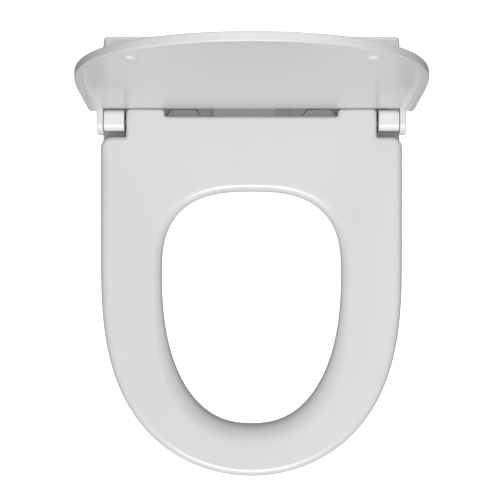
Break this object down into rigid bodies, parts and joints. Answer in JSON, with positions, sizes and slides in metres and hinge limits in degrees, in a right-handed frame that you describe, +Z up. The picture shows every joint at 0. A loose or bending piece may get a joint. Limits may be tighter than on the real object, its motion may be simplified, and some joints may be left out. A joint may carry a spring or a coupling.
{
  "type": "electric bidet seat",
  "caption": "Washing toilet seat with a soft-close lid and seat ring, sliding wash wands, warm water, warm air dryer and deodorizer in a rear housing.",
  "frame": {"origin": "midway between the two fixing bolts, on the plane of the ceramic rim that the base stands on", "axes": "+Z up; the front of the seat is -Y; +X runs along the hinge line, towards the side with the buttons"},
  "size_m": [0.392, 0.54, 0.5316],
  "materials": {
    "cover_plastic": "glossy moulded, white",
    "base_plastic": "satin moulded, pale grey",
    "grey_plastic": "satin moulded, mid grey",
    "seat_plastic": "glossy moulded, white",
    "lid_plastic": "glossy moulded, white",
    "bumper_rubber": "soft, pale grey",
    "cord_rubber": "soft, grey",
    "stainless": "brushed",
    "nut_plastic": "satin moulded, pale grey",
    "damper_plastic": "satin moulded, dark",
    "wand_plastic": "glossy moulded, white",
    "tip_plastic": "glossy moulded, grey",
    "gear_plastic": "satin moulded, natural",
    "motor_steel": "zinc plated",
    "inlet_brass": "machined",
    "mesh_steel": "bright",
    "works_plastic": "satin moulded, grey",
    "tank_plastic": "satin moulded, natural",
    "hose_rubber": "soft, milky",
    "flap_plastic": "glossy moulded, white",
    "drawer_plastic": "glossy moulded, white",
    "carbon": "granular, black",
    "board": "lacquered board",
    "heater_film": "foil laminate"
  },
  "bodies": {
    "base": {"base_pads": "bumper_rubber", "base_tray": "base_plastic", "bay_cover": "cover_plastic", "blower_housing": "works_plastic", "blower_motor": "motor_steel", "bolt_covers": "grey_plastic", "cone_washers": "bumper_rubber", "control_board": "board", "cord_gland": "cord_rubber", "cover_screws": "stainless", "deodorizer_housing": "works_plastic", "deodorizer_motor": "motor_steel", "diverter_valve": "works_plastic", "dryer_duct": "works_plastic", "dryer_heater": "mesh_steel", "fixing_bolts": "stainless", "flat_washers": "stainless", "front_deck": "cover_plastic", "heater_element": "mesh_steel", "heater_tank": "tank_plastic", "hinge_block_left": "cover_plastic", "hinge_block_right": "cover_plastic", "hoses": "hose_rubber", "inlet_connector": "inlet_brass", "inlet_filter": "mesh_steel", "inlet_valve": "works_plastic", "lid_dampers": "damper_plastic", "mounting_plate": "stainless", "nozzle_cradle": "base_plastic", "nozzle_guard": "wand_plastic", "power_board": "board", "pump_motor": "motor_steel", "rear_cover": "cover_plastic", "seat_dampers": "damper_plastic", "stepper_motors": "motor_steel", "valve_coil": "works_plastic", "water_pump": "works_plastic", "wing_nuts": "nut_plastic"},
    "rear_wand_body": {"rear_wand": "wand_plastic", "rear_nozzle_tip": "tip_plastic"},
    "front_wand_body": {"front_wand": "wand_plastic", "front_nozzle_tip": "tip_plastic"},
    "rear_pinion_body": {"rear_pinion": "gear_plastic"},
    "front_pinion_body": {"front_pinion": "gear_plastic"},
    "blower_wheel": {"blower_impeller": "gear_plastic"},
    "fan_wheel": {"deodorizer_rotor": "gear_plastic"},
    "flap": {"dryer_flap": "flap_plastic"},
    "drawer": {"filter_drawer": "drawer_plastic", "carbon_filter": "carbon"},
    "release_key": {"release_button": "drawer_plastic"},
    "power_key": {"power_button": "drawer_plastic"},
    "wash_key": {"wash_button": "drawer_plastic"},
    "seat": {"seat_top_shell": "seat_plastic", "seat_bottom_shell": "seat_plastic", "seat_heater": "heater_film", "seat_bumpers": "bumper_rubber", "seat_pins": "stainless"},
    "lid": {"lid_shell": "lid_plastic", "lid_bumpers": "bumper_rubber", "lid_pins": "stainless"}
  },
  "joints": [
    {"name": "seat_hinge", "type": "hinge", "parent": "base", "child": "seat", "pos_m": [0, -0.0135, 0.028], "axis": [1, 0, 0], "range_deg": [-90, 0]},
    {"name": "lid_hinge", "type": "hinge", "parent": "base", "child": "lid", "pos_m": [0, -0.0135, 0.028], "axis": [1, 0, 0], "range_deg": [0, 95]},
    {"name": "rear_wand_slide", "type": "slide", "parent": "base", "child": "rear_wand_body", "axis": [0, -0.9925, -0.1219], "range_m": [0, 0.06]},
    {"name": "front_wand_slide", "type": "slide", "parent": "base", "child": "front_wand_body", "axis": [0, -0.9925, -0.1219], "range_m": [0, 0.06]},
    {"name": "rear_pinion_spin", "type": "hinge", "parent": "base", "child": "rear_pinion_body", "pos_m": [0.0205, 0.02229, 0.01858], "axis": [0, -0.1219, 0.9925], "range_deg": [0, 620]},
    {"name": "front_pinion_spin", "type": "hinge", "parent": "base", "child": "front_pinion_body", "pos_m": [-0.0205, 0.02229, 0.01858], "axis": [0, -0.1219, 0.9925], "range_deg": [-620, 0]},
    {"name": "blower_spin", "type": "hinge", "parent": "base", "child": "blower_wheel", "pos_m": [0.08, 0.05, 0.02], "axis": [0, 0, 1], "continuous": true},
    {"name": "fan_spin", "type": "hinge", "parent": "base", "child": "fan_wheel", "pos_m": [0.13, 0.03, 0.02], "axis": [0, 0, 1], "continuous": true},
    {"name": "flap_hinge", "type": "hinge", "parent": "base", "child": "flap", "pos_m": [0.0385, -0.0778, 0.0185], "axis": [1, 0, 0], "range_deg": [-80, 0]},
    {"name": "drawer_slide", "type": "slide", "parent": "base", "child": "drawer", "axis": [1, 0, 0], "range_m": [0, 0.032]},
    {"name": "release_press", "type": "slide", "parent": "base", "child": "release_key", "axis": [-1, 0, 0], "range_m": [0, 0.0012], "stiffness_N_per_m": 500},
    {"name": "power_press", "type": "slide", "parent": "base", "child": "power_key", "axis": [-1, 0, 0], "range_m": [0, 0.0012], "stiffness_N_per_m": 500},
    {"name": "wash_press", "type": "slide", "parent": "base", "child": "wash_key", "axis": [-1, 0, 0], "range_m": [0, 0.0012], "stiffness_N_per_m": 500}
  ],
  "couplings": [
    {"joint": "rear_pinion_spin", "follows": "rear_wand_slide", "rad_per_m": 178.57},
    {"joint": "front_pinion_spin", "follows": "front_wand_slide", "rad_per_m": -178.57}
  ]
}
